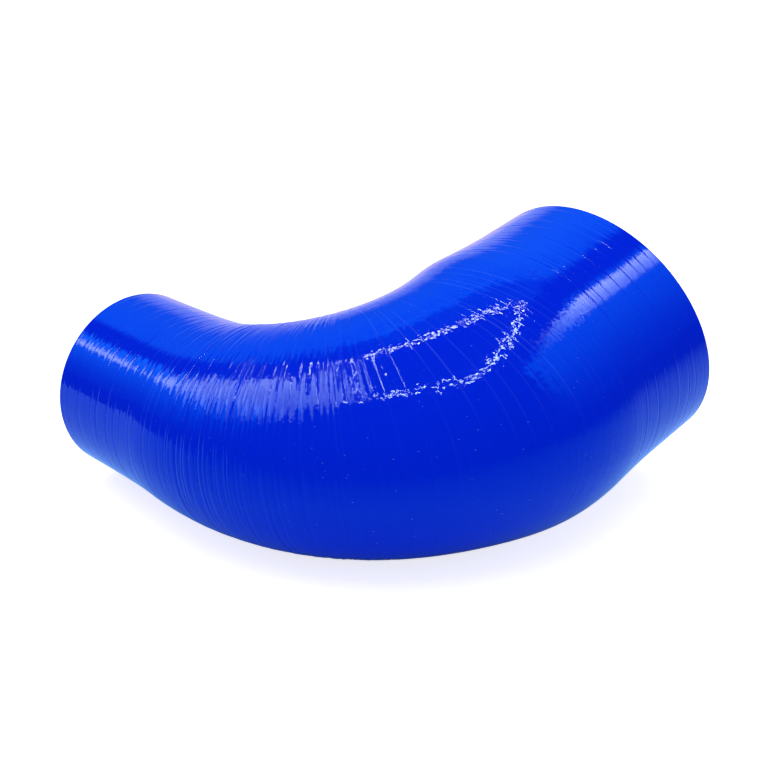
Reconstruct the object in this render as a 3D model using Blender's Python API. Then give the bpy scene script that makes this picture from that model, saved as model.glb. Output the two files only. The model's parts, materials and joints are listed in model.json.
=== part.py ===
"""Silicone reducer elbow hose, one moulded piece.

A quarter bend joins two straight cuffs. The bore narrows evenly from the large cuff to the
small one, and the wall is the same thickness all the way. The hose lies on a flat surface as
it would come to rest: on its bend and on the rim of its small end.
Metres, +Z up. The large cuff points along +X and the small one along +Y.
"""
import math

import bmesh
import bpy
from mathutils import Vector, geometry

# Bores and wall
large_bore = 0.080
small_bore = 0.051
wall = 0.005

# Centreline: small cuff, bend, large cuff
small_cuff = 0.041
bend_radius = 0.071
bend_angle = math.radians(90.0)
large_cuff = 0.041

# Taper: it starts a little before the bend, ends before the bend does, and its two ends are rounded
taper_start_before_bend = 0.005
taper_end_before_cuff = 0.016
taper_rounding = 0.013

# Swell: the tube is slightly fuller where the taper has just ended
swell_height = 0.0014
swell_reach = 0.016
swell_before_cuff = 0.009

# Cut: the large end is cut a few degrees out of square, shorter on top
large_end_slant = math.radians(6.0)

# Facets
sides = 60
rings_in_cuff = 4
rings_in_bend = 22

# Colour and finish of the silicone
hose_blue = (0.002, 0.020, 0.720, 1.0)
hose_roughness = 0.32

large_outer_radius = large_bore / 2 + wall
small_outer_radius = small_bore / 2 + wall
bend_length = bend_radius * bend_angle
bend_end = small_cuff + bend_length
hose_length = bend_end + large_cuff


def clear_scene():
    """Remove every object that the file opened with."""
    for item in list(bpy.data.objects):
        bpy.data.objects.remove(item, do_unlink=True)


def centreline(distance):
    """Centre, forward direction and inward side of the tube, measured from the small end."""
    before_bend = min(distance, small_cuff)
    after_bend = max(distance - bend_end, 0.0)
    turned = min(max(distance - small_cuff, 0.0), bend_length) / bend_radius
    forward = Vector((math.sin(turned), -math.cos(turned), 0.0))
    inward = Vector((math.cos(turned), math.sin(turned), 0.0))
    bend_centre = Vector((bend_radius, 0.0, 0.0))
    centre = bend_centre - inward * bend_radius + forward * after_bend
    centre.y += small_cuff - before_bend
    return centre, forward, inward


def rounded_step(distance):
    """Zero before a corner, rising one for one after it, with the corner rounded off."""
    return (distance + math.hypot(distance, taper_rounding)) / 2


def outer_radius(distance):
    """Small radius, then an even taper to the large one, with the swell at its end."""
    taper_start = small_cuff - taper_start_before_bend
    taper_end = bend_end - taper_end_before_cuff
    risen = rounded_step(distance - taper_start) - rounded_step(distance - taper_end)
    share = risen / (taper_end - taper_start)
    from_swell = (distance - (bend_end - swell_before_cuff)) / swell_reach
    swell = swell_height * math.exp(-from_swell * from_swell)
    return small_outer_radius + (large_outer_radius - small_outer_radius) * share + swell


def ring_points(distance, depth):
    """Points round the tube, depth below its outer skin; along the large cuff they lean into the cut."""
    centre, forward, inward = centreline(distance)
    radius = outer_radius(distance) - depth
    lean = math.tan(large_end_slant) * max(distance - bend_end, 0.0) / large_cuff
    points = []
    for step in range(sides):
        angle = 2 * math.pi * step / sides
        across = radius * math.cos(angle)
        height = radius * math.sin(angle)
        points.append(centre + inward * across + Vector((0.0, 0.0, height)) - forward * lean * height)
    return points


def ring_distances():
    """Where the rings lie along the centreline: even steps in each cuff and in the bend."""
    stretches = (
        (0.0, small_cuff, rings_in_cuff),
        (small_cuff, bend_end, rings_in_bend),
        (bend_end, hose_length, rings_in_cuff),
    )
    distances = []
    for start, end, count in stretches:
        for step in range(count):
            distances.append(start + (end - start) * step / count)
    distances.append(hose_length)
    return distances


def skin(mesh, depth):
    """A tube of quads at one depth below the outer skin; gives back its rings of vertices."""
    rings = []
    for distance in ring_distances():
        rings.append([mesh.verts.new(point) for point in ring_points(distance, depth)])
    for ring, following in zip(rings, rings[1:]):
        join_rings(mesh, ring, following)
    return rings


def join_rings(mesh, ring, following):
    """A band of quads between two rings with the same number of vertices."""
    for step in range(sides):
        after = (step + 1) % sides
        mesh.faces.new((ring[step], ring[after], following[after], following[step]))


def build_hose():
    """The outer skin and the bore, joined by a flat cut face at each end."""
    mesh = bmesh.new()
    outside = skin(mesh, 0.0)
    bore = skin(mesh, wall)
    join_rings(mesh, bore[0], outside[0])
    join_rings(mesh, outside[-1], bore[-1])
    bmesh.ops.recalc_face_normals(mesh, faces=mesh.faces)
    return mesh


def centre_of_mass(mesh):
    """Centre of the solid, summed over the pyramids from the origin to each triangle."""
    volume = 0.0
    moment = Vector((0.0, 0.0, 0.0))
    for loops in mesh.calc_loop_triangles():
        first, second, third = (loop.vert.co for loop in loops)
        pyramid = first.dot(second.cross(third)) / 6
        volume += pyramid
        moment += pyramid * (first + second + third) / 4
    return moment / volume


def resting_turn(mesh):
    """Turn that lays the face of the convex hull beneath the centre of mass on the ground."""
    balance = centre_of_mass(mesh)
    hull = bmesh.new()
    for vertex in mesh.verts:
        hull.verts.new(vertex.co)
    bmesh.ops.convex_hull(hull, input=hull.verts)
    hull.normal_update()
    lowest = None
    turn = Vector((0.0, 0.0, -1.0)).rotation_difference(Vector((0.0, 0.0, -1.0)))
    for face in hull.faces:
        corners = [vertex.co for vertex in face.verts]
        height = (corners[0] - balance).dot(face.normal)
        foot = balance + face.normal * height
        carried = geometry.intersect_point_tri(foot, *corners[:3]) is not None
        if face.normal.z < 0 and carried and (lowest is None or height < lowest):
            lowest = height
            turn = face.normal.rotation_difference(Vector((0.0, 0.0, -1.0)))
    hull.free()
    return turn


def place_at_rest(hose, turn):
    """Lay the hose down, with the middle of its footprint box at the origin."""
    hose.rotation_mode = 'QUATERNION'
    hose.rotation_quaternion = turn
    corners = [turn @ vertex.co for vertex in hose.data.vertices]
    low = Vector(min(corner[axis] for corner in corners) for axis in range(3))
    high = Vector(max(corner[axis] for corner in corners) for axis in range(3))
    hose.location = Vector((-(low.x + high.x) / 2, -(low.y + high.y) / 2, -low.z))


def silicone():
    """Glossy blue silicone rubber."""
    material = bpy.data.materials.new("blue_silicone")
    material.use_nodes = True
    shader = material.node_tree.nodes["Principled BSDF"]
    shader.inputs["Base Color"].default_value = hose_blue
    shader.inputs["Roughness"].default_value = hose_roughness
    shader.inputs["Metallic"].default_value = 0.0
    material.diffuse_color = hose_blue
    return material


def make_hose():
    """The hose as one named object, shaded smooth between its crisp cut edges."""
    mesh = build_hose()
    turn = resting_turn(mesh)
    data = bpy.data.meshes.new("reducer_elbow_hose")
    mesh.to_mesh(data)
    mesh.free()
    data.materials.append(silicone())
    data.shade_smooth()
    data.set_sharp_from_angle(angle=math.radians(40.0))
    hose = bpy.data.objects.new("reducer_elbow_hose", data)
    bpy.context.scene.collection.objects.link(hose)
    place_at_rest(hose, turn)
    return hose


clear_scene()
make_hose()
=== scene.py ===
# %% [markdown]
# # A silicone reducer elbow hose
#
# The real hose is moulded in one piece: sheets of fabric coated with silicone rubber are laid over a bent,
# tapered steel mandrel, wrapped tightly in a narrow nylon tape and cured. When the tape comes off, its
# edges and its weave stay printed in the skin as fine rings. Those rings are what makes the hose look real,
# so most of this lesson is about them.
#
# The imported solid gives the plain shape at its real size. It is loaded first, as a fixed frame.

# %% Load the frame
import json

import bpy
import numpy as np
from mathutils import Matrix, Vector


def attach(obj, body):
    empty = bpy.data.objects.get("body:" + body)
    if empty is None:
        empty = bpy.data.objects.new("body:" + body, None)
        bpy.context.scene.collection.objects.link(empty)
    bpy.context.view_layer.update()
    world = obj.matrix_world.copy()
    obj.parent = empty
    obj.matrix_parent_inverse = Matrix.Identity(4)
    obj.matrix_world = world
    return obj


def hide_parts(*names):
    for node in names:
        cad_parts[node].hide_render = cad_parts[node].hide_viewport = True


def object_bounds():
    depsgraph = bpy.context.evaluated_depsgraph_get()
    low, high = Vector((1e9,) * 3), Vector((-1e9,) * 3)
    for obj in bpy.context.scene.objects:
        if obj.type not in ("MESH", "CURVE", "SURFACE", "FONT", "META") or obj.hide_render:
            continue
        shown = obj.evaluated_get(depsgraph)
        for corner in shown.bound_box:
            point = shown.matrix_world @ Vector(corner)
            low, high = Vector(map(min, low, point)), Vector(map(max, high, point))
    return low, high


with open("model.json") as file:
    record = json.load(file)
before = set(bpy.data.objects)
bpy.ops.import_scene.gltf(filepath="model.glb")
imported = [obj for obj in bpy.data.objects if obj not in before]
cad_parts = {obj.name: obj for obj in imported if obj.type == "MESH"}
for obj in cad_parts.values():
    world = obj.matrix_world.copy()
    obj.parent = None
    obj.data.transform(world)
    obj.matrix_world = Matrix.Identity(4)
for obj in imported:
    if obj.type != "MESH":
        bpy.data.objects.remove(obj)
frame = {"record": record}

cad_box = [list(corner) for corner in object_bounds()]
print("solid's box", cad_box)

# %% [markdown]
# ## The sizes of the hose
#
# Everything is worked out from a few sizes in metres: two bores, the wall, two straight cuffs and the bend
# between them. They are the same sizes as the solid's. The taper, a slight swell and the slanted cut at the
# large end are the only other things that the plain shape needs.

# %% Sizes
large_bore = 0.080
small_bore = 0.051
wall = 0.005
small_cuff = 0.041
bend_radius = 0.071
bend_angle = np.radians(90.0)
large_cuff = 0.041
taper_start_before_bend = 0.005
taper_end_before_cuff = 0.016
taper_rounding = 0.013
swell_height = 0.0014
swell_reach = 0.016
swell_before_cuff = 0.009
large_end_slant = np.radians(6.0)

large_outer_radius = large_bore / 2 + wall
small_outer_radius = small_bore / 2 + wall
bend_end = small_cuff + bend_radius * bend_angle
hose_length = bend_end + large_cuff
print("centreline length", round(hose_length, 4))

# %% [markdown]
# ## The centreline and the radius
#
# A tube is a profile carried along a path. Here the path is a straight run, a quarter circle and another
# straight run, and the profile is a circle whose radius changes on the way. Both are written for whole
# arrays of distances, measured along the centreline from the small end, so that numpy can work out every
# vertex at once.

# %% Path and radius
def centreline(distance):
    """Centre, forward direction and inward side at each distance along the tube.

    On the bend, centre = bend centre - inward * bend radius, where inward turns with
    distance / bend radius. On the cuffs the centre runs on along the last forward direction.
    """
    before = np.minimum(distance, small_cuff)
    after = np.maximum(distance - bend_end, 0.0)
    turned = np.clip(distance - small_cuff, 0.0, bend_radius * bend_angle) / bend_radius
    none = np.zeros_like(turned)
    forward = np.stack([np.sin(turned), -np.cos(turned), none], axis=-1)
    inward = np.stack([np.cos(turned), np.sin(turned), none], axis=-1)
    centre = np.array([bend_radius, 0.0, 0.0]) - inward * bend_radius + forward * after[..., None]
    centre[..., 1] += small_cuff - before
    return centre, forward, inward


def rounded_step(distance):
    """Half of (distance + square root of distance squared plus rounding squared): a rounded corner."""
    return (distance + np.hypot(distance, taper_rounding)) / 2


def outer_radius(distance):
    """Small radius plus an even taper with rounded ends, plus a bell-shaped swell where it has ended."""
    start = small_cuff - taper_start_before_bend
    end = bend_end - taper_end_before_cuff
    share = (rounded_step(distance - start) - rounded_step(distance - end)) / (end - start)
    from_swell = (distance - (bend_end - swell_before_cuff)) / swell_reach
    swell = swell_height * np.exp(-from_swell ** 2)
    return small_outer_radius + (large_outer_radius - small_outer_radius) * share + swell


probe = np.array([0.0, small_cuff, bend_end, hose_length])
print("outer radius at the ends and the bend's ends", outer_radius(probe).round(4))

# %% [markdown]
# ## Where the tape's edges lie
#
# The tape is wound by hand. On the straight cuffs its edges come every 2.5 mm or so, and every second one
# is the deeper mark of an overlap. Around the first half of the bend the winder has to overlap the tape
# more, so the edges crowd to about 1.2 mm, and past the middle they open up again to about 2.4 mm. A short
# table says how far apart they are along the hose, and a seeded random number makes each gap a little
# different. One loop over some ninety edges is enough, because the vertices come later.

# %% Tape edges
chance = np.random.default_rng(27)

spacing_places = np.array([0.000, 0.040, 0.050, 0.060, 0.092, 0.100, 0.140, 0.155, 0.194])
spacing_values = np.array([0.0026, 0.0025, 0.0017, 0.0012, 0.0014, 0.0022, 0.0024, 0.0026, 0.0026])
end_margin = 0.002
past_small_cuff = 0.006
before_large_cuff = 0.004
groove_widths = (0.00011, 0.00019)
overlap_widths = (0.00015, 0.00022)
crowded_places = np.array([0.052, 0.058, 0.092, 0.098])
crowded_widening = np.array([1.0, 1.5, 1.5, 1.0])


def tape_edges():
    """Running total of gaps: each gap is the table's spacing times a random factor from 0.5 to 1.5."""
    edges = []
    place = end_margin
    while place < hose_length - end_margin:
        edges.append(place)
        place += np.interp(place, spacing_places, spacing_values) * chance.uniform(0.5, 1.5)
    return np.array(edges)


edges = tape_edges()
edge_width = chance.uniform(*groove_widths, len(edges))
on_cuff = (edges < small_cuff + past_small_cuff) | (edges > bend_end - before_large_cuff)
edge_is_overlap = on_cuff & (np.arange(len(edges)) % 2 == 0)
edge_width[edge_is_overlap] = chance.uniform(*overlap_widths, edge_is_overlap.sum())
edge_width = edge_width * np.interp(edges, crowded_places, crowded_widening)
print("tape edges", len(edges))

# %% [markdown]
# ## How the rings lean
#
# On the cuffs the rings stand square to the tube. Past the middle of the bend the winder's hand lags behind
# the turn, so the rings lean: they crowd together on the inside of the bend and fan out over its back. A
# ring that leans is a circle in a tilted plane, and its place along the hose shifts with the cosine of the
# angle round the tube.
#
# The mesh's own rings follow the tape's rings. That keeps a groove 0.2 mm wide crisp with few columns,
# where a square grid would break it into steps.

# %% Lean
lean_places = np.array([
    0.000, 0.040, 0.056, 0.078, 0.090, 0.102, 0.114, 0.121, 0.128, 0.142, 0.150, 0.160, 0.194])
lean_values = np.array([
    0.0, 0.0, -0.0024, -0.0026, 0.0, 0.0080, 0.0160, 0.0180, 0.0180, 0.0118, 0.0072, 0.0032, 0.0])
lean_turned = np.radians(-10.0)
even_out = 0.005
square_at_small_end = 0.006
square_at_large_end = 0.012


def smooth_table(place, places, values):
    """A table read with straight lines between its points, then averaged over a short stretch each way."""
    steps = np.linspace(-even_out, even_out, 9)
    return np.mean([np.interp(place + step, places, values) for step in steps], axis=0)


def leaning_distance(place, angle):
    """Place minus lean times cosine of the angle, minus the slanted cut's share times sine of the angle."""
    lean = smooth_table(place, lean_places, lean_values)
    lean = lean * np.clip(place / square_at_small_end, 0.0, 1.0)
    lean = lean * np.clip((hose_length - place) / square_at_large_end, 0.0, 1.0)
    leaned = place - lean * np.cos(angle - lean_turned)
    slant = np.tan(large_end_slant) * np.maximum(place - bend_end, 0.0) / large_cuff
    return leaned - slant * large_outer_radius * np.sin(angle)


# %% [markdown]
# ## The rows of the mesh
#
# The skin needs close rows only at the tape's edges. Each edge gets six rows, from one shoulder of its
# groove over the ridge beside it, and the bands between get a row about every 0.45 mm. The mesh is one
# closed strip of rows: along the skin, over the large cut face, back through the bore and over the small
# cut face to the start.

# %% Rows
band_step = 0.00045
shoulders = np.array([-2.0, -0.9, 0.0, 0.9, 2.0, 3.2])
rounding_rows = np.array([0.0, 0.3, 1.0, 2.2])
cut_rounding = 0.0004
cut_rows = 5
clear_of_edges = 0.6 * band_step
closest_rows = 0.00004


def skin_rows():
    """Rows at each edge's shoulders, and evenly spaced ones in the bands where no edge is near."""
    at_edges = (edges[:, None] + shoulders[None, :] * edge_width[:, None]).ravel()
    at_ends = rounding_rows * cut_rounding
    between = np.arange(band_step, hose_length, band_step)
    nearest = np.abs(between[:, None] - at_edges[None, :]).min(axis=1)
    rows = np.concatenate([at_edges, between[nearest > clear_of_edges], at_ends, hose_length - at_ends])
    rows = np.unique(rows[(rows >= 0.0) & (rows <= hose_length)].round(6))
    return rows[np.insert(np.diff(rows) > closest_rows, 0, True)]


skin = skin_rows()
bore_steps = 64
bore = np.linspace(hose_length, 0.0, bore_steps)
cut_depths = np.linspace(cut_rounding, wall - cut_rounding, cut_rows)

row_place = np.concatenate([skin, np.full(cut_rows, hose_length), bore, np.zeros(cut_rows)])
row_depth = np.concatenate([np.zeros(len(skin)), cut_depths, np.full(bore_steps, wall), cut_depths[::-1]])
row_is_skin = np.arange(len(row_place)) < len(skin)
columns = 118
print("rows", len(row_place), "triangles", 2 * len(row_place) * columns)

# %% [markdown]
# ## The relief of the skin
#
# Three things shape the skin. Each tape edge leaves a groove with a low ridge beside it. Between edges the
# tape pulls the rubber into a shallow band, slightly crowned. The hand-wound tape is never quite even, so
# small ripples run across the rings, and they break up the reflections of the lamps into streaks. How
# strong each is changes along the hose, so tables say that too. A tenth of a millimetre is then taken off
# all over, which leaves room for the ridges inside the solid's skin.

# %% Relief
groove_places = np.array([0.000, 0.045, 0.060, 0.092, 0.105, 0.140, 0.155, 0.194])
groove_depths = np.array([0.000012, 0.000030, 0.000100, 0.000090, 0.000020, 0.000022, 0.000014, 0.000014])
crown_values = np.array([0.000007, 0.000012, 0.000050, 0.000050, 0.000005, 0.000004, 0.000010, 0.000010])
ripple_values = np.array([0.6, 0.8, 2.2, 2.2, 0.5, 0.4, 0.9, 0.9])
relief_room = 0.0001
mostly_shallow = 1.5
depth_scale = 1.7
overlap_depths = (0.00005, 0.00010)
cuff_ridge_share = 0.3
groove_reach = 8
ripple_lengths = np.geomspace(0.0011, 0.0060, 16)
ripple_height = 0.0000022
ripple_height_at = 0.002
ripple_sway = 1.2

edge_depth = np.interp(edges, groove_places, groove_depths)
edge_depth = edge_depth * chance.uniform(0.2, 1.0, len(edges)) ** mostly_shallow * depth_scale
edge_depth[edge_is_overlap] = chance.uniform(*overlap_depths, edge_is_overlap.sum())
edge_ridge = edge_depth * chance.uniform(0.1, 0.6, len(edges)) * np.where(on_cuff, cuff_ridge_share, 1.0)
edge_wave = chance.integers(1, 5, len(edges))
edge_turn = chance.uniform(0.0, 2 * np.pi, len(edges))


def grooves(place, angle):
    """Sum over the edges of a bell-shaped groove and a narrower ridge beside it, fading round the tube."""
    relief = np.zeros(np.broadcast_shapes(place.shape, angle.shape))
    for middle, width, depth, ridge, wave, turn in zip(
            edges, edge_width, edge_depth, edge_ridge, edge_wave, edge_turn):
        near = np.abs(place[:, 0] - middle) < groove_reach * width
        along = (place[near] - middle) / width
        fade = 0.75 + 0.25 * np.cos(wave * angle + turn)
        relief[near] -= depth * fade * np.exp(-along ** 2)
        relief[near] += ridge * fade * np.exp(-((along - 2.0) / 0.8) ** 2)
    return relief


def crowns(place, angle):
    """Crown height times (1 - t squared), where t runs from -1 to 1 between one edge and the next."""
    walls = np.concatenate([[-end_margin], edges, [hose_length + end_margin]])
    band = np.clip(np.searchsorted(walls, place) - 1, 0, len(walls) - 2)
    t = 2 * (place - walls[band]) / (walls[band + 1] - walls[band]) - 1
    lift = chance.uniform(0.3, 1.6, len(walls))[band]
    height = np.interp(place, groove_places, crown_values)
    return height * lift * (1 - t ** 2) + 0 * angle


def ripples(place, angle):
    """A sum of cosines along the hose, each turned a little round the tube, scaled by the table."""
    total = np.zeros(np.broadcast_shapes(place.shape, angle.shape))
    for length in ripple_lengths:
        wave = int(chance.integers(2, 9))
        turn = chance.uniform(0.0, 2 * np.pi, 2)
        height = ripple_height * (length / ripple_height_at)
        sway = ripple_sway * np.cos(wave * angle + turn[1])
        total += height * np.cos(2 * np.pi * place / length + turn[0] + sway)
    return total * np.interp(place, groove_places, ripple_values)


# %% [markdown]
# ## The mesh
#
# Now the surface can be evaluated on the whole grid at once: rows by columns. Each vertex takes its own
# distance along the centreline, so a leaning ring still lies on the tube. The skin's edge at each cut is
# rounded by 0.4 mm.
#
# The shape is worked out with the bend flat. The real hose lies tilted by a few degrees, with its large end
# raised, and the solid says how. The direction of its small end face and the line between a point on each
# end face fix the turn. The middle of its box then fixes the shift.

# %% Surface
def rounded_end(place):
    """How far the skin draws in at a cut: a quarter circle of the rounding's radius."""
    near = np.clip(1 - np.minimum(place, hose_length - place) / cut_rounding, 0.0, 1.0)
    return cut_rounding * (1 - np.sqrt(1 - near ** 2))


def surface(place, depth, is_skin, angle):
    """Centre + inward * radius * cos(angle) + up * radius * sin(angle), at each vertex's own distance."""
    distance = leaning_distance(place, angle)
    relief = grooves(place, angle) + crowns(place, angle) + ripples(place, angle)
    skin_change = relief - relief_room - rounded_end(place)
    radius = outer_radius(distance) - depth + np.where(is_skin, skin_change, 0.0)
    centre, forward, inward = centreline(distance)
    up = np.array([0.0, 0.0, 1.0])
    across = (radius * np.cos(angle))[..., None]
    height = (radius * np.sin(angle))[..., None]
    return centre + inward * across + up * height


def resting_turn():
    """Turn that carries the flat bend's end faces onto the solid's: there transposed times here."""
    mounts = {mount["name"]: mount for mount in frame["record"]["mounts"]}
    small = mounts["small_end_face"]
    large = mounts["large_end_face"]
    small_here = np.array([small_outer_radius - wall / 2, small_cuff, 0.0])
    large_here = np.array([bend_radius + large_cuff, large_outer_radius - wall / 2 - bend_radius, 0.0])
    here = upright_axes(np.array([0.0, 1.0, 0.0]), large_here - small_here)
    there = upright_axes(np.array(small["axis"]), np.array(large["pos_m"]) - np.array(small["pos_m"]))
    return there.T @ here


def upright_axes(first, towards):
    """Three square axes: the first, the part of towards that is square to it, and their cross product."""
    first = first / np.linalg.norm(first)
    second = towards - first * np.dot(towards, first)
    second = second / np.linalg.norm(second)
    return np.array([first, second, np.cross(first, second)])


angles = np.linspace(0.0, 2 * np.pi, columns, endpoint=False)
upright = surface(row_place[:, None], row_depth[:, None], row_is_skin[:, None], angles[None, :])
turned = upright @ resting_turn().T
shift = (np.array(cad_box[0]) + np.array(cad_box[1]) - turned.min((0, 1)) - turned.max((0, 1))) / 2
points = turned + shift
print("lowest point", points[..., 2].min().round(5))
print("box", points.min((0, 1)).round(4), points.max((0, 1)).round(4))

# %% Faces and the piece
def grid_faces(rows, columns):
    """Quads between each row and the next, closed both ways: (r, c), (r, c+1), (r+1, c+1), (r+1, c)."""
    r, c = np.meshgrid(np.arange(rows), np.arange(columns), indexing="ij")
    after_r = (r + 1) % rows
    after_c = (c + 1) % columns
    quads = [r * columns + c, r * columns + after_c, after_r * columns + after_c, after_r * columns + c]
    return np.stack(quads, axis=-1).reshape(-1, 4)


def mesh_piece(name, vertices, quads):
    """A mesh object at the origin, made from whole arrays."""
    data = bpy.data.meshes.new(name)
    data.vertices.add(len(vertices))
    data.vertices.foreach_set("co", vertices.astype(np.float32).ravel())
    data.loops.add(quads.size)
    data.loops.foreach_set("vertex_index", quads.astype(np.int32).ravel())
    data.polygons.add(len(quads))
    data.polygons.foreach_set("loop_start", np.arange(0, quads.size, 4, dtype=np.int32))
    data.update(calc_edges=True)
    data.validate()
    data.shade_smooth()
    piece = bpy.data.objects.new(name, data)
    bpy.context.scene.collection.objects.link(piece)
    return piece


def volume(vertices, quads):
    """A sixth of the sum of a . (b x c) over the triangles: positive when the faces point outwards."""
    a, b, c, d = (vertices[quads[:, corner]] for corner in range(4))
    first = np.einsum("ij,ij->i", a, np.cross(b, c))
    second = np.einsum("ij,ij->i", a, np.cross(c, d))
    return (first.sum() + second.sum()) / 6


quads = grid_faces(len(row_place), columns)
if volume(points.reshape(-1, 3), quads) < 0:
    quads = quads[:, ::-1]
print("rubber in cubic centimetres", round(volume(points.reshape(-1, 3), quads) * 1e6, 1))
hose = mesh_piece("wrapped_hose", points.reshape(-1, 3), quads)
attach(hose, "root")
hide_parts("reducer_elbow_hose")

# %% [markdown]
# ## What the finish needs to know
#
# The pattern of the tape has to follow the skin, so the mesh carries a UV map: one way along the hose and
# the other way round it. Four attributes say more: where a pale line lies beside a turn of tape (a painted
# highlight, strongest on the hose's upper side, and in one short stretch a line of pale rubber squeezed up
# all the way round), how deeply the tape's weave was pressed in, how strong the fine rings between the edges
# are, and where each vertex would lie if the hose were straightened.

# %% UV map and attributes
weave_places = np.array([0.000, 0.045, 0.058, 0.070, 0.104, 0.112, 0.140, 0.150, 0.194])
weave_values = np.array([0.20, 0.25, 0.60, 1.00, 1.00, 0.90, 0.90, 0.30, 0.25])
ring_values = np.array([1.5, 2.5, 14.0, 22.0, 14.0, 5.0, 4.0, 2.5, 2.5])
pale_places = np.array([0.000, 0.040, 0.045, 0.052, 0.056, 0.090, 0.100, 0.140, 0.150, 0.194])
pale_values = np.array([0.10, 0.20, 0.90, 0.90, 0.20, 0.30, 0.80, 0.80, 0.25, 0.15])
all_round_places = np.array([0.043, 0.045, 0.052, 0.054])
all_round_values = np.array([0.0, 1.0, 1.0, 0.0])
pale_widest = 0.00018
# The side round the tube where the pale lines carry their painted highlight most strongly: the hose's top.
highlight_side = np.radians(95.0)


def pale_lines_and_highlights(place, angle):
    """Bell-shaped lines beside the edges, as strong as the table times a random number, coming and going; a
    painted highlight strongest on the hose's upper side, and all the way round only where the rubber was
    squeezed.
    """
    strength = np.interp(edges, pale_places, pale_values) * chance.uniform(0.0, 1.3, len(edges))
    total = np.zeros(np.broadcast_shapes(place.shape, angle.shape))
    all_round = np.interp(edges, all_round_places, all_round_values)
    for middle, width, amount, squeezed, wave, turn in zip(
            edges, np.minimum(edge_width, pale_widest), strength, all_round, edge_wave, edge_turn):
        near = np.abs(place[:, 0] - middle) < groove_reach * width
        along = (place[near] - middle) / width
        fade = np.clip(0.55 + 0.45 * np.cos((wave + 1) * angle + 2 * turn), 0.0, 1.0)
        # Painted highlight: the lines are strongest on the hose's upper side, as if lit from above; only
        # where the rubber was squeezed do they run all the way round.
        highlight_share = (0.5 + 0.5 * np.cos(angle - highlight_side)) ** 5
        fade = fade * (highlight_share + (1.0 - highlight_share) * squeezed)
        total[near] += amount * fade * np.exp(-((along - 0.9) / 0.6) ** 2)
    return np.clip(total, 0.0, 1.0)


def on_skin(values):
    """The values on the skin's rows, and nothing on the cut faces and in the bore."""
    return np.where(row_is_skin[:, None], values, 0.0)


def add_attribute(piece, name, values):
    """One number for each vertex, row by row."""
    attribute = piece.data.attributes.new(name, 'FLOAT', 'POINT')
    attribute.data.foreach_set("value", np.ascontiguousarray(values, dtype=np.float32).ravel())


grid_place, grid_angle = np.broadcast_arrays(row_place[:, None], angles[None, :])
pale = on_skin(pale_lines_and_highlights(row_place[:, None], angles[None, :]))
flat_radius = outer_radius(grid_place) - row_depth[:, None]
straight = np.stack([grid_place, flat_radius * np.cos(grid_angle), flat_radius * np.sin(grid_angle)], axis=-1)
straight_attribute = hose.data.attributes.new("straightened", 'FLOAT_VECTOR', 'POINT')
straight_attribute.data.foreach_set("vector", straight.astype(np.float32).ravel())
add_attribute(hose, "pale_line_and_highlight", pale)
add_attribute(hose, "weave", on_skin(np.interp(grid_place, weave_places, weave_values)))
add_attribute(hose, "fine_rings", on_skin(np.interp(grid_place, weave_places, ring_values)))

quad_row = np.repeat(np.arange(len(row_place)), columns)
quad_column = np.tile(np.arange(columns), len(row_place))
next_row = (quad_row + 1) % len(row_place)
corner_row = np.stack([quad_row, quad_row, next_row, next_row], 1)
corner_column = np.stack([quad_column, quad_column + 1, quad_column + 1, quad_column], 1)
if quads[0, 0] != 0:
    corner_row = corner_row[:, ::-1]
    corner_column = corner_column[:, ::-1]
uv = np.stack([row_place[corner_row] / hose_length, corner_column / columns], axis=-1)
uv_map = hose.data.uv_layers.new(name="along_and_round")
uv_map.data.foreach_set("uv", uv.astype(np.float32).ravel())
print("pale share", round(float(pale.mean()), 4))
print("uv range", uv.min((0, 1)).round(3), uv.max((0, 1)).round(3))

# %% [markdown]
# ## Blue silicone
#
# Silicone rubber is a strong, even blue under a thin, clear gloss. One Principled shader does it: a
# saturated base colour, a low roughness and an index of refraction close to silicone's. Such a blue shows
# no red, and a plain white gloss would add some, so the gloss is tinted blue.
#
# The tape's weave leaves small facets in the skin. They are made by tipping the surface's normal a little,
# another way in each cell of an uneven grid, so that reflections break up into specks. A very low bump from
# stretched noise adds the fine rings between the edges. The pale lines lighten the colour a little: a painted
# highlight on the hose's upper side, and pale squeezed-up rubber in one short stretch. A sparse Voronoi
# pattern leaves the dust specks that this rubber always picks up.

# %% Material helpers
def new_node(tree, kind, **settings):
    """A node of one kind with its settings."""
    node = tree.nodes.new(kind)
    for name, value in settings.items():
        setattr(node, name, value)
    return node


def math_node(tree, operation, first, second=0.0):
    """A Math node; each input is a number or another node's output."""
    node = new_node(tree, "ShaderNodeMath", operation=operation)
    for socket, value in zip(node.inputs, (first, second)):
        if isinstance(value, bpy.types.NodeSocket):
            tree.links.new(value, socket)
        else:
            socket.default_value = value
    return node.outputs[0]


def vector_node(tree, operation, first, second=(0.0, 0.0, 0.0)):
    """A Vector Math node; each input is three numbers or another node's output.

    Dot products and lengths give a number, the other operations three.
    """
    node = new_node(tree, "ShaderNodeVectorMath", operation=operation)
    for socket, value in zip(node.inputs, (first, second)):
        if isinstance(value, bpy.types.NodeSocket):
            tree.links.new(value, socket)
        else:
            socket.default_value = value
    return node.outputs["Value" if operation in ('DOT_PRODUCT', 'LENGTH') else "Vector"]


def read_attribute(tree, name):
    """The number that the mesh carries under a name."""
    return new_node(tree, "ShaderNodeAttribute", attribute_name=name).outputs["Fac"]


# %% The silicone's finish
hose_blue = (0.0, 0.020, 0.82, 1.0)
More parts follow.
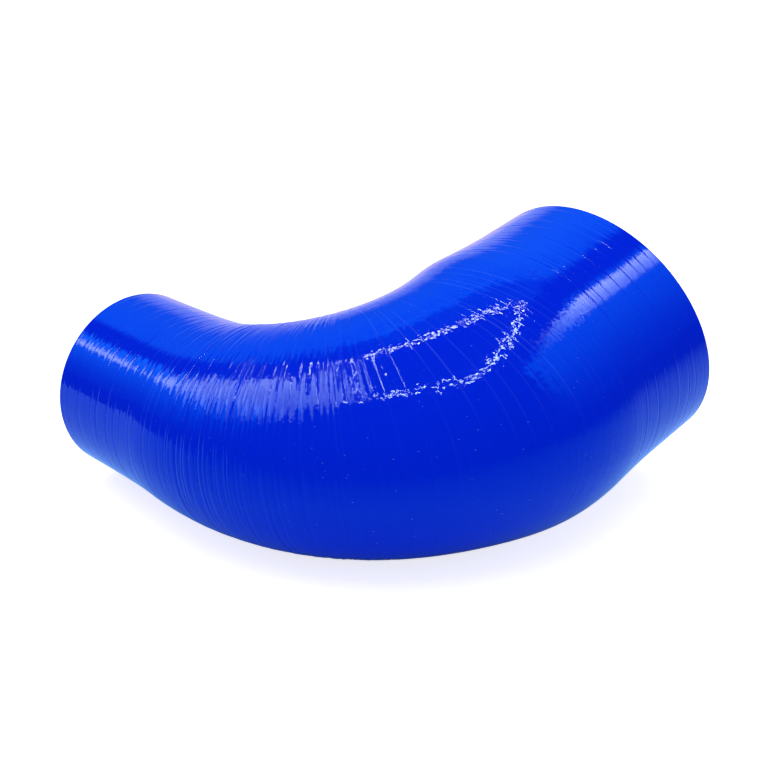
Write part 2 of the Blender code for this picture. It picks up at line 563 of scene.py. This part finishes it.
# Colour of the pale lines: pale squeezed-up rubber in one stretch, elsewhere a painted highlight on the upper
# side.
pale_and_highlight_blue = (0.10, 0.22, 0.95, 1.0)
dust_grey = (0.30, 0.40, 0.85, 1.0)
gloss_tint = (0.35, 0.80, 1.0, 1.0)
gloss_roughness = 0.05
silicone_ior = 1.45
pale_and_highlight_strength = 0.35
dust_strength = 0.35
threads_along = 330
threads_round = 400
thread_unevenness = 0.6
facet_tilt = 0.058
ring_spacing = 0.0008
ring_run = 0.0150
ring_detail = 1.0
ring_height = 0.000005
speck_cells_round = 240.0
speck_scale = 0.60
speck_radius = 0.065
speck_above = 0.3


def stretched_noise(tree, along, around, detail):
    """Noise on the straightened hose, with features of one size along it and another round it, in metres."""
    source = new_node(tree, "ShaderNodeAttribute", attribute_name="straightened")
    stretch = new_node(tree, "ShaderNodeMapping")
    stretch.inputs["Scale"].default_value = (1.0 / along, 1.0 / around, 1.0 / around)
    tree.links.new(source.outputs["Vector"], stretch.inputs["Vector"])
    noise = new_node(tree, "ShaderNodeTexNoise")
    noise.inputs["Scale"].default_value = 1.0
    noise.inputs["Detail"].default_value = detail
    tree.links.new(stretch.outputs["Vector"], noise.inputs["Vector"])
    return math_node(tree, 'SUBTRACT', noise.outputs["Fac"], 0.5)


def woven_facets(tree, uv):
    """The surface's normal tipped a little, another way in each cell of a slightly uneven grid of threads."""
    grid = new_node(tree, "ShaderNodeMapping")
    grid.inputs["Scale"].default_value = (threads_along, threads_round, 1.0)
    tree.links.new(uv, grid.inputs["Vector"])
    cells = new_node(tree, "ShaderNodeTexVoronoi", voronoi_dimensions='2D')
    cells.inputs["Scale"].default_value = 1.0
    cells.inputs["Randomness"].default_value = thread_unevenness
    tree.links.new(grid.outputs["Vector"], cells.inputs["Vector"])
    centred = vector_node(tree, 'SUBTRACT', cells.outputs["Color"], (0.5, 0.5, 0.5))
    strength = math_node(tree, 'MULTIPLY', read_attribute(tree, "weave"), facet_tilt)
    tipped = new_node(tree, "ShaderNodeVectorMath", operation='SCALE')
    tree.links.new(centred, tipped.inputs[0])
    tree.links.new(strength, tipped.inputs["Scale"])
    normal = new_node(tree, "ShaderNodeNewGeometry").outputs["Normal"]
    return vector_node(tree, 'NORMALIZE', vector_node(tree, 'ADD', normal, tipped.outputs[0]))


def dust_specks(tree, uv):
    """Small dots at scattered Voronoi points, kept only where the cell's own random number is high."""
    stretch = new_node(tree, "ShaderNodeMapping")
    stretch.inputs["Scale"].default_value = (hose_length * 1000, speck_cells_round, 1.0)
    tree.links.new(uv, stretch.inputs["Vector"])
    cells = new_node(tree, "ShaderNodeTexVoronoi")
    cells.inputs["Scale"].default_value = speck_scale
    tree.links.new(stretch.outputs["Vector"], cells.inputs["Vector"])
    near = math_node(tree, 'LESS_THAN', cells.outputs["Distance"], speck_radius)
    picked = new_node(tree, "ShaderNodeSeparateXYZ")
    tree.links.new(cells.outputs["Color"], picked.inputs[0])
    kept = math_node(tree, 'GREATER_THAN', picked.outputs["X"], speck_above)
    return math_node(tree, 'MULTIPLY', near, kept)


def mix_colour(tree, share, first, second):
    """Mix of two colours; the first may be another node's output."""
    node = new_node(tree, "ShaderNodeMix", data_type='RGBA')
    tree.links.new(share, node.inputs["Factor"])
    colours = [socket for socket in node.inputs if socket.type == 'RGBA']
    if isinstance(first, bpy.types.NodeSocket):
        tree.links.new(first, colours[0])
    else:
        colours[0].default_value = first
    colours[1].default_value = second
    return [socket for socket in node.outputs if socket.type == 'RGBA'][0]


def blue_silicone():
    """Saturated blue rubber with a clear gloss, the tape's weave, pale lines with a painted highlight, and
    dust.
    """
    material = bpy.data.materials.new("blue_silicone")
    material.use_nodes = True
    tree = material.node_tree
    shader = tree.nodes["Principled BSDF"]
    shader.inputs["Roughness"].default_value = gloss_roughness
    shader.inputs["IOR"].default_value = silicone_ior
    shader.inputs["Specular Tint"].default_value = gloss_tint
    uv = new_node(tree, "ShaderNodeUVMap", uv_map="along_and_round").outputs["UV"]
    # The pale lines mix in the pale colour: a painted highlight on the upper side, and squeezed rubber in one
    # stretch.
    pale_and_highlight_share = math_node(tree, 'MULTIPLY', read_attribute(tree, "pale_line_and_highlight"), pale_and_highlight_strength)
    coloured = mix_colour(tree, pale_and_highlight_share, hose_blue, pale_and_highlight_blue)
    dust = math_node(tree, 'MULTIPLY', dust_specks(tree, uv), dust_strength)
    tree.links.new(mix_colour(tree, dust, coloured, dust_grey), shader.inputs["Base Color"])
    noise = stretched_noise(tree, ring_spacing, ring_run, ring_detail)
    fine_rings = math_node(tree, 'MULTIPLY', noise, read_attribute(tree, "fine_rings"))
    bump = new_node(tree, "ShaderNodeBump")
    bump.inputs["Strength"].default_value = 1.0
    bump.inputs["Distance"].default_value = ring_height
    tree.links.new(fine_rings, bump.inputs["Height"])
    tree.links.new(woven_facets(tree, uv), bump.inputs["Normal"])
    tree.links.new(bump.outputs["Normal"], shader.inputs["Normal"])
    return material


hose.data.materials.append(blue_silicone())

# %% [markdown]
# ## Camera
#
# The hose is seen from outside its corner, a little above, through a short telephoto lens, with both open
# ends facing away. The camera is placed by the direction it looks along and its distance to a point near
# the middle of the hose, so that it can be understood without reading coordinates.

# %% Camera
view_azimuth = np.radians(-46.2)
view_elevation = np.radians(29.12)
view_roll = np.radians(0.72)
view_distance = 0.4221
view_target = Vector((-0.0114, -0.0092, 0.0500))
lens_mm = 62.95

back = Vector((np.sin(view_azimuth) * np.cos(view_elevation),
               -np.cos(view_azimuth) * np.cos(view_elevation),
               np.sin(view_elevation)))
camera_data = bpy.data.cameras.new("camera")
camera_data.lens = lens_mm
camera_data.sensor_width = 36.0
camera = bpy.data.objects.new("camera", camera_data)
camera.rotation_mode = 'QUATERNION'
camera.rotation_quaternion = back.to_track_quat('Z', 'Y') @ Matrix.Rotation(view_roll, 3, 'Z').to_quaternion()
camera.location = view_target + back * view_distance
bpy.context.scene.collection.objects.link(camera)
bpy.context.scene.camera = camera
print("camera at", [round(value, 4) for value in camera.location])

# %% [markdown]
# ## Studio
#
# A glossy tube shows its surroundings more than its own colour. The real one lay on a white sheet in a dim
# room, before a white wall, with a bright panel on either side and a square frame of bright strips
# overhead. The lamps that are there to be reflected are placed by the direction in which the hose sees
# them, and are left out of the diffuse light. One large soft lamp from above lights the rubber and isn't
# reflected.
#
# The gloss is tinted blue. So the strips and panels are a warm white, which comes back from the hose nearly
# white, and the walls are a cool blue, which comes back without red. Each panel below is written as its
# direction and roll, its width and height, all in degrees, and then its brightness, colour and fading.

# %% Lamps
to_right = Vector((np.cos(view_azimuth), np.sin(view_azimuth), 0.0))
to_back = Vector((-np.sin(view_azimuth), np.cos(view_azimuth), 0.0))
upward = Vector((0.0, 0.0, 1.0))
hose_middle = Vector((0.0, 0.0, 0.05))


def studio_place(right, behind, above):
    """A point of the room, in metres to the right of the hose, behind it and above the floor."""
    return to_right * right + to_back * behind + upward * above


def lamp(name, centre, facing, long_side, length, width, brightness, colour):
    """An area lamp whose face has a given brightness, where 1 is the white of the picture."""
    data = bpy.data.lights.new(name, 'AREA')
    data.shape = 'RECTANGLE'
    data.size = length
    data.size_y = width
    data.energy = brightness * length * width * np.pi
    data.color = colour
    item = bpy.data.objects.new(name, data)
    third = facing.normalized()
    first = (long_side - third * long_side.dot(third)).normalized()
    turn = Matrix((first, first.cross(third), -third)).transposed()
    item.matrix_world = Matrix.Translation(centre) @ turn.to_4x4()
    item.visible_camera = False
    item.visible_diffuse = False
    bpy.context.scene.collection.objects.link(item)
    return item


def fade_across(tree, place, start, end, low, high=1.0):
    """Smooth rise from low at one place on the lamp's face to high at another."""
    ramp = new_node(tree, "ShaderNodeMapRange", interpolation_type='SMOOTHSTEP')
    tree.links.new(place, ramp.inputs["Value"])
    for name, value in (("From Min", start), ("From Max", end), ("To Min", low), ("To Max", high)):
        ramp.inputs[name].default_value = value
    return ramp.outputs["Result"]


def soften(item, low=1.0, start=0.0, end=1.0, left=1.0, right=1.0, edge=0.10, slant=0.0):
    """Fade a lamp's face: soft edges, from its top (1) down to a low level, and from left to right."""
    data = item.data
    data.use_nodes = True
    tree = data.node_tree
    parts = new_node(tree, "ShaderNodeSeparateXYZ")
    tree.links.new(new_node(tree, "ShaderNodeNewGeometry").outputs["Parametric"], parts.inputs[0])
    fades = [fade_across(tree, parts.outputs["Y"], end, start, low),
             fade_across(tree, parts.outputs["X"], 0.1, 0.9, left, right)]
    cut = math_node(tree, 'MULTIPLY', math_node(tree, 'SUBTRACT', 1.0, parts.outputs["Y"]), slant)
    right_side = math_node(tree, 'ADD', parts.outputs["X"], cut)
    for side in (parts.outputs["X"], parts.outputs["Y"]):
        fades.append(fade_across(tree, side, 0.0, edge, 0.0))
    for side in (right_side, parts.outputs["Y"]):
        fades.append(fade_across(tree, side, 1.0, 1.0 - edge, 0.0))
    total = fades[0]
    for fade in fades[1:]:
        total = math_node(tree, 'MULTIPLY', total, fade)
    tree.links.new(total, tree.nodes["Emission"].inputs["Strength"])


def panel(name, azimuth, elevation, roll, wide, high, brightness, colour, **fading):
    """A soft lamp seen from the hose at an azimuth (0 is behind it, 90 to its right) and an elevation.

    Its width and height are also the degrees that it covers: size = 2 * distance * tan(half the angle).
    """
    azimuth, elevation, roll, wide, high = np.radians([azimuth, elevation, roll, wide, high])
    level = to_right * np.sin(azimuth) + to_back * np.cos(azimuth)
    sideways = to_right * np.cos(azimuth) - to_back * np.sin(azimuth)
    outward = level * np.cos(elevation) + upward * np.sin(elevation)
    across = sideways * np.cos(roll) + outward.cross(sideways) * np.sin(roll)
    sizes = 2 * panel_distance * np.tan(np.array([wide, high]) / 2)
    centre = hose_middle + outward * panel_distance
    item = lamp(name, centre, -outward, across, sizes[0], sizes[1], brightness, colour)
    soften(item, **fading)
    return item


panel_distance = 1.0
frame_left, frame_right = -0.37, 0.25
frame_front, frame_back = -0.62, 0.15
frame_height = 1.0
strip_width = 0.023
strip_brightness = 50.0
warm_white = (1.0, 0.72, 0.62)
cool_white = (0.02, 0.31, 1.0)
soft_white = (1.0, 0.80, 0.85)
strip_white = (1.0, 0.60, 0.60)
plain_white = (1.0, 1.0, 1.0)
soft_top_size = 1.4
soft_top_brightness = 2.3
corners = [studio_place(frame_left, frame_front, frame_height),
           studio_place(frame_right, frame_front, frame_height),
           studio_place(frame_right, frame_back, frame_height),
           studio_place(frame_left, frame_back, frame_height)]
for number in range(4):
    start = corners[number]
    end = corners[(number + 1) % 4]
    lamp("overhead_strip_%d" % number, (start + end) / 2, -upward, end - start,
         (end - start).length, strip_width, strip_brightness, strip_white)

panel("left_panel", -94.5, 43.5, 12, 60, 31, 15.5, warm_white,
      low=0.50, end=0.55, left=0.40, edge=0.09, slant=0.45)
panel("left_wall", -88, 20, 10, 56, 32, 5.6, cool_white, low=0.10, end=0.9)
panel("right_panel", 85, 50, -24, 52, 12, 12.5, warm_white, low=0.35, end=0.9, right=0.15, edge=0.22)
panel("right_wall", 98, 30, 0, 62, 56, 4.1, cool_white, low=0.08, start=0.1, end=0.9)
panel("back_wall", -10, 26, 0, 72, 72, 3.0, cool_white, low=0.35, start=0.2, end=0.7)
panel("horizon", -4, 2, 0, 70, 34, 0.5, soft_white, edge=0.30)
panel("ceiling", 0, 66, 0, 44, 24, 1.2, cool_white)

soft_top_place = studio_place(-0.1, -0.2, 1.6)
soft_top = lamp("soft_top", soft_top_place, -soft_top_place, to_right,
                soft_top_size, soft_top_size, soft_top_brightness, plain_white)
soft_top.visible_diffuse = True
soft_top.visible_glossy = False

# %% [markdown]
# ## Floor and room
#
# The floor is a white sheet, and it keeps the hose's shadow. The picture's ground is plain white, which the
# world gives to camera rays alone. The hose is lit by an even grey room, and reflects a much darker one.
#
# In the hose's gloss the sheet is a glow that fades three ways: a painted shadow close round the hose's foot,
# and painted shade towards the camera and towards its right side. It is mirrored in blue there, with more red
# far behind the hose, for the same reason as the walls.

# %% Floor and world
sheet_white = (0.85, 0.85, 0.86, 1.0)
sheet_roughness = 0.9
sheet_glow = 0.74
mirrored_sheet = 1.0
# Fades of the mirrored sheet: a painted shadow round the hose's foot, painted shade towards the camera and to
# the right.
foot_shadow_fade = (0.045, 0.11, 0.10)
forward_shade_fade = (-0.32, 0.05, 0.05)
sideways_shade_fade = (0.44, 0.16, 0.15)
colour_change = (-0.18, 0.45, 0.0)
mirrored_near = (0.18, 0.66, 1.35, 1.0)
mirrored_far = (0.95, 0.85, 1.25, 1.0)
even_light = 0.47
mirrored_room = 0.02


def white_sheet():
    """A matt white floor with a little light of its own for the camera, so that it joins the white ground.

    The hose mirrors it as a glow times three fades, each written as start, end and lowest level: by the
    distance from the hose's foot (a painted shadow), and by the distance behind the hose and to its right
    (both painted shade), in metres.
    """
    material = bpy.data.materials.new("white_sheet")
    material.use_nodes = True
    tree = material.node_tree
    shader = tree.nodes["Principled BSDF"]
    shader.inputs["Base Color"].default_value = sheet_white
    shader.inputs["Roughness"].default_value = sheet_roughness
    rays = new_node(tree, "ShaderNodeLightPath").outputs
    glow = new_node(tree, "ShaderNodeEmission")
    tree.links.new(math_node(tree, 'MULTIPLY', rays["Is Camera Ray"], sheet_glow), glow.inputs["Strength"])
    both = new_node(tree, "ShaderNodeAddShader")
    tree.links.new(shader.outputs[0], both.inputs[0])
    tree.links.new(glow.outputs[0], both.inputs[1])
    place = new_node(tree, "ShaderNodeTexCoord").outputs["Object"]
    from_foot = vector_node(tree, 'LENGTH', place)
    behind = vector_node(tree, 'DOT_PRODUCT', place, to_back)
    sideways = vector_node(tree, 'DOT_PRODUCT', place, to_right)
    # The sheet as the hose mirrors it: a painted shadow round the hose's foot and painted shade towards the
    # camera and to the right.
    lit = math_node(tree, 'MULTIPLY', fade_across(tree, from_foot, *foot_shadow_fade),
                    fade_across(tree, behind, *forward_shade_fade))
    lit = math_node(tree, 'MULTIPLY', lit, fade_across(tree, sideways, *sideways_shade_fade))
    mirrored = new_node(tree, "ShaderNodeEmission")
    colour = mix_colour(tree, fade_across(tree, behind, *colour_change), mirrored_near, mirrored_far)
    tree.links.new(colour, mirrored.inputs["Color"])
    tree.links.new(math_node(tree, 'MULTIPLY', lit, mirrored_sheet), mirrored.inputs["Strength"])
    choice = new_node(tree, "ShaderNodeMixShader")
    tree.links.new(rays["Is Glossy Ray"], choice.inputs[0])
    tree.links.new(both.outputs[0], choice.inputs[1])
    tree.links.new(mirrored.outputs[0], choice.inputs[2])
    tree.links.new(choice.outputs[0], tree.nodes["Material Output"].inputs["Surface"])
    return material


def floor_sheet(half_width, front, behind):
    """A flat sheet under the hose, turned square to the camera."""
    corners = [studio_place(-half_width, -front, 0.0), studio_place(half_width, -front, 0.0),
               studio_place(half_width, behind, 0.0), studio_place(-half_width, behind, 0.0)]
    sheet = mesh_piece("floor", np.array(corners), np.array([[0, 1, 2, 3]]))
    sheet.data.materials.append(white_sheet())


def room(lighting, reflected):
    """White ground for the camera, an even grey that lights the scene and a darker one to be reflected."""
    world = bpy.data.worlds.new("room")
    world.use_nodes = True
    tree = world.node_tree
    rays = new_node(tree, "ShaderNodeLightPath").outputs
    seen = math_node(tree, 'MULTIPLY', rays["Is Camera Ray"], 1.0 - lighting)
    mirrored = math_node(tree, 'MULTIPLY', rays["Is Glossy Ray"], reflected - lighting)
    strength = math_node(tree, 'ADD', math_node(tree, 'ADD', seen, mirrored), lighting)
    ground = tree.nodes["Background"]
    ground.inputs["Color"].default_value = (1.0, 1.0, 1.0, 1.0)
    tree.links.new(strength, ground.inputs["Strength"])
    bpy.context.scene.world = world


floor_sheet(half_width=0.45, front=0.45, behind=1.1)
room(lighting=even_light, reflected=mirrored_room)
bpy.context.scene.view_settings.view_transform = 'Standard'
